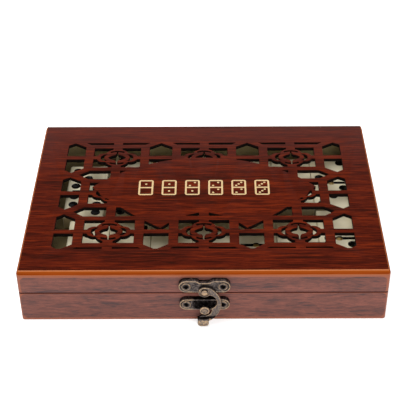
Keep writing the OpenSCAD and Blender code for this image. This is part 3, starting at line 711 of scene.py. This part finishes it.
def antique(name, base, spread, shift=None):
    """Washed bronze: the mesh's rub mark, roughened by noise, runs from black wash over
    speckled grey to bare metal; base and spread set how much of each a piece shows, and
    shift(x, y, z) moves it in places."""
    finish = Finish(name, Metallic=1)
    cloud = finish.noise(finish.place, 0.9, 5, 0.65)
    speck = finish.noise(finish.place, 3, 3, 0.6)
    level = finish.mark("rub") * spread + base + (cloud - 0.5) * 1.2 + (speck - 0.5) * 1.1
    if shift:
        level = level + shift(*finish.axes())
    colour = finish.ramp(level, (0.05, srgb(12, 8, 6)), (0.3, srgb(60, 54, 54)),
                         (0.55, srgb(120, 110, 106)), (0.75, srgb(146, 128, 112)),
                         (1, srgb(216, 180, 140)))
    rough = finish.ramp(level, (0.1, (0.6,) * 3), (0.9, (0.3,) * 3))
    finish.wear({"Base Color": colour, "Roughness": rough})
    finish.bump(cloud, 0.0001, 0.5)
    return finish.material


def middle_x(node):
    """Middle of a CAD node's box from left to right."""
    low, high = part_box(node)
    return (low.x + high.x) / 2 / MM


def middle_z(node):
    """Middle of a CAD node's box from foot to top."""
    low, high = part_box(node)
    return (low.z + high.z) / 2 / MM


def cast_plate(node, shank_z, boss, shift):
    """Plate with a raised rim along its outline and a collar round each screw; the face
    between them is sunk. shank_z is the height of the middle hole, whose edge is sunk with
    the face, and boss the radius round it within which the rim is narrower."""
    points, triangles = welded(node)
    middle = (points.min(0) + points.max(0)) / 2
    screw_z = middle_z(node.replace("plate", "screws"))

    def rows(corners):
        off = np.abs(corners[:, 0] - middle[0])
        from_shank = np.hypot(off, corners[:, 1] - shank_z)
        at_screw = np.hypot(off - PLATE_SCREW_X, corners[:, 1] - screw_z) < COLLAR_REACH
        at_shank = from_shank < SHANK_REACH
        thin = np.where(from_shank < boss, BOSS_RIM, 1)
        for (rim_in, rim_down), (collar_in, collar_down) in zip(RIM, COLLAR):
            inset = np.where(at_shank, 0.02 * rim_in, rim_in * thin)
            drop = np.where(at_shank, SUNK, rim_down)
            yield np.where(at_screw, collar_in, inset), np.where(at_screw, collar_down, drop)

    points, triangles, strips, row = eased(points, triangles, -points[:, 1].min(), rows, FRONT)
    mesh = marked(mesh_of(node, points, triangles, strips), "rub",
                  np.where(row < 0, WALL, RUBBED[row]))
    return finish_mesh(node + ".piece", mesh, [antique(node, 0.4, 0.5, shift)], 40)


stud_x = middle_x("latch_stud")
base_plate_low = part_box("latch_base_plate")[0].z / MM


def hook_shadow(x, y, z):
    """Painted shadow of the hook: the lower plate's middle stays black where the hook shades it.
    """
    shadow_band = z.step(base_plate_low + 0.8, base_plate_low + 2.2)
    return abs(x - stud_x).step(7.2, 4.8) * shadow_band * -0.36


for node, shank, boss, body, shift in (
        ("latch_lid_plate", "latch_pivot_rivet", 0, "lid", None),
        ("latch_base_plate", "latch_stud", STUD_BOSS, "base", hook_shadow)):
    plate = cast_plate(node, middle_z(shank), boss, shift)
    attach(plate, body)
    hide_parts(node)


def head_middles(corners, head_r):
    """Middles of the screw heads, which stand in a row along x: the corners are halved
    until each half is one head."""
    if np.ptp(corners[:, 0]) < 3 * head_r:
        return [(corners.min(0) + corners.max(0)) / 2]
    left = corners[:, 0] < corners[:, 0].mean()
    return head_middles(corners[left], head_r) + head_middles(corners[~left], head_r)


def screws(node, turn, head_r, finish):
    """Countersunk heads: the outline is rounded and the cross keeps a crisp edge. The wash
    fills the cross and is rubbed off towards the outline."""
    points, triangles = welded(node)
    face = points @ turn.T
    level = face[:, 2].max()
    middles = np.array(head_middles(face[np.abs(face[:, 2] - level) < LEVEL][:, :2], head_r))

    def from_middle(places):
        return np.linalg.norm(places[:, None, :2] - middles[None], axis=2).min(1)

    def rows(corners):
        return round_rows(np.where(from_middle(corners) > head_r - 0.05, HEAD_EASE, CROSS_EASE))

    points, triangles, strips, row = eased(points, triangles, level, rows, turn)
    out = from_middle(points @ turn.T) / head_r
    rub = np.where(row < 0, -0.8, np.interp(out, [0.2, 0.6, 0.85, 0.95], [-0.9, -0.4, 0.5, 1]))
    mesh = marked(mesh_of(node, points, triangles, strips), "rub", rub)
    piece = finish_mesh(node + ".piece", mesh, [finish], 40)
    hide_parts(node)
    return piece


screw_bronze = antique("screw_bronze", 0.3, 0.45)
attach(screws("latch_lid_screws", FRONT, LATCH_HEAD_R, screw_bronze), "lid")
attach(screws("latch_base_screws", FRONT, LATCH_HEAD_R, screw_bronze), "base")


def turned(name, profile, centre, axis, steps=48):
    """Turned piece: the (radius, height, rub) profile revolved about axis through centre. A
    radius of 0 closes an end, where the loop's doubles are merged."""
    axis = np.array(axis, float)
    side = np.cross(axis, [1, 0, 0] if abs(axis[0]) < 0.5 else [0, 0, 1])
    other = np.cross(axis, side)
    turn = np.linspace(0, 2 * pi, steps, endpoint=False)
    ring = np.cos(turn)[:, None] * side + np.sin(turn)[:, None] * other
    radius, height, rub = np.array(profile).T
    points = centre + radius[:, None, None] * ring + height[:, None, None] * axis
    faces = grid_faces(len(profile), steps).tolist()
    mesh = bpy.data.meshes.new(name)
    mesh.from_pydata((points.reshape(-1, 3) * MM).tolist(), [], faces)
    return marked(mesh, "rub", np.repeat(rub, steps))


def middle_front(node):
    """Middle of a piece's foot on the front wall, and how far it stands out from it."""
    low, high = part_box(node)
    return np.array([middle_x(node), high.y / MM, middle_z(node)]), (high.y - low.y) / MM


# Stud: a neck, and a round-edged head with a ring groove cut into its crown.
stud_foot, stud_out = middle_front("latch_stud")
neck = [(0, 0, WALL), (NECK_R, 0, WALL), (NECK_R, stud_out - HEAD_T, WALL)]
under_head = [(STUD_R - 0.3, stud_out - HEAD_T, 0), (STUD_R, stud_out - HEAD_T + 0.3, 0.2)]
head_edge = [(STUD_R - 0.5 + 0.5 * cos(t), stud_out - 0.5 + 0.5 * sin(t), 1) for t in ROUND]
ring_groove = [(1.85, stud_out - 0.02, 0.8), (1.7, stud_out - 0.22, 0),
               (1.5, stud_out - 0.22, 0), (1.35, stud_out - 0.06, 0.6)]
crown = [(0.7, stud_out - 0.02, 0.6), (0, stud_out, 0.6)]
stud_mesh = turned("latch_stud", neck + under_head + head_edge + ring_groove + crown,
                   stud_foot, (0, -1, 0))
stud = finish_mesh("latch_stud.piece", stud_mesh, [antique("stud_bronze", 0.45, 0.42)], 40)
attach(stud, "base")
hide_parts("latch_stud")

# Rivet: a shank, and a head that is half an ellipse.
rivet_foot, rivet_out = middle_front("latch_pivot_rivet")
dome_foot = rivet_out - RIVET_HEAD_H
shank = [(0, 0, WALL), (RIVET_R, 0, WALL), (RIVET_R, dome_foot, WALL)]
dome = [(RIVET_HEAD_R * cos(t), rivet_out - RIVET_HEAD_H * (1 - sin(t)), 0.2 + 0.7 * sin(t))
        for t in np.linspace(0, pi / 2, 9)]
rivet_mesh = turned("latch_pivot_rivet", shank + dome, rivet_foot, (0, -1, 0))
rivet = finish_mesh("latch_pivot_rivet.piece", rivet_mesh, [antique("rivet_bronze", 0.55, 0.4)],
                    40)
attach(rivet, "lid")
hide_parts("latch_pivot_rivet")

# The hook's tab leans out from a crease at TAB_H, where the face isn't rounded.
points, triangles = welded("latch_hook")
hook_low = points[:, 2].min()
hook_face = points[:, 1].max() - HOOK_T


def hook_rows(corners):
    """Round rim outside; round the rivet the face is dished out to DISH from the hole."""
    from_rivet = np.hypot(corners[:, 0] - rivet_foot[0], corners[:, 1] - rivet_foot[2])
    at_hole = from_rivet < RIVET_R + 0.2
    at_tab = corners[:, 1] < hook_low + TAB_H + 0.05
    dish = [(0, DISH_DEPTH), (DISH * 0.5, DISH_DEPTH), (DISH * 0.9, DISH_DEPTH * 0.9),
            (DISH, DISH_DEPTH * 0.4), (DISH + 0.12, 0)]
    for (inset, drop), (dish_in, dish_down) in zip(round_rows(HOOK_EASE), dish):
        yield (np.where(at_hole, dish_in, np.where(at_tab, 0, inset)),
               np.where(at_hole, dish_down, np.where(at_tab, 0, drop)))


def crease_shade_and_tab_light(x, y, z):
    """Black in the crease above the finger tab, pale on the tab's lower half: painted shade
    over the wash in the crease, and a painted highlight over the rubbing on the tab.
    """
    # Painted shade in the crease, over the wash there; painted highlight on the tab's lower half.
    crease_shade = abs(z - hook_low - TAB_H - 0.1).step(1.3, 0.5)
    return z.step(hook_low + 3.4, hook_low + 2.4) * 0.35 - crease_shade * 0.55


points, triangles, strips, row = eased(points, triangles, -hook_face, hook_rows, FRONT)
from_rivet = np.hypot(points[:, 0] - rivet_foot[0], points[:, 2] - rivet_foot[2])
hook_rub = np.where(row < 0, -0.2, np.array([0.2, 0.85, 1, 0.8, 0.15])[row])
hook_rub[from_rivet < RIVET_R + DISH - 0.1] = -0.8
hook_mesh = marked(mesh_of("latch_hook", points, triangles, strips), "rub", hook_rub)
hook = finish_mesh("latch_hook.piece", hook_mesh, [antique("hook_bronze", 0.5, 0.4, crease_shade_and_tab_light)], 40)
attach(hook, "hook")
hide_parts("latch_hook")


# ---- hinges ---------------------------------------------------------------
# Two leaf hinges of pressed brass plate with the same wash as the latch, each
# leaf screwed to the back with two screws; the leaves' knuckles are rolled round
# a pin with peened ends.

BACK = np.array([[-1.0, 0, 0], [0, 0, 1], [0, 1, 0]])
LEAF_T, LEAF_EASE = 1.0, 0.2
PIN_R, PIN_PEEN = 1.0, 0.35
HINGE_HEAD_R = 1.7
leaf_face = half[1] + LEAF_T
leaf_bronze = antique("leaf_bronze", 0.4, 0.45)


def leaf_rows(corners):
    return round_rows(LEAF_EASE)


def hinge_leaf(node):
    """Leaf with its plate's edges rounded and rubbed."""
    points, triangles = welded(node)
    points, triangles, strips, row = eased(points, triangles, leaf_face, leaf_rows, BACK)
    rub = np.where(row < 0, 0, np.array([0.2, 0.8, 1, 0.7, 0])[row])
    mesh = marked(mesh_of(node, points, triangles, strips), "rub", rub)
    return finish_mesh(node + ".piece", mesh, [leaf_bronze], 40)


def hinge_pin(node, side):
    """Pin along x: each end is a quarter ellipse, PIN_PEEN long, turned about its axis."""
    low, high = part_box(node)
    start = np.array([low.x, (low.y + high.y) / 2, (low.z + high.z) / 2]) / MM
    length = (high.x - low.x) / MM
    turn = np.linspace(0, pi / 2, 6)
    profile = ([(PIN_R * sin(t), PIN_PEEN * (1 - cos(t)), 0.8) for t in turn]
               + [(PIN_R * cos(t), length - PIN_PEEN * (1 - sin(t)), 0.8) for t in turn])
    metal = brass("pin_brass." + side, srgb(140, 108, 60), srgb(184, 150, 92))
    return finish_mesh(node + ".piece", turned(node, profile, start, (1, 0, 0)), [metal], 40)


for side in ("left", "right"):
    for body in ("base", "lid"):
        node = "hinge_" + side + "_" + body + "_leaf"
        leaf = hinge_leaf(node)
        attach(leaf, body)
        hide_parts(node)
    node = "hinge_" + side + "_pin"
    pin = hinge_pin(node, side)
    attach(pin, "base")
    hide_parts(node)

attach(screws("hinge_base_screws", BACK, HINGE_HEAD_R, screw_bronze), "base")
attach(screws("hinge_lid_screws", BACK, HINGE_HEAD_R, screw_bronze), "lid")
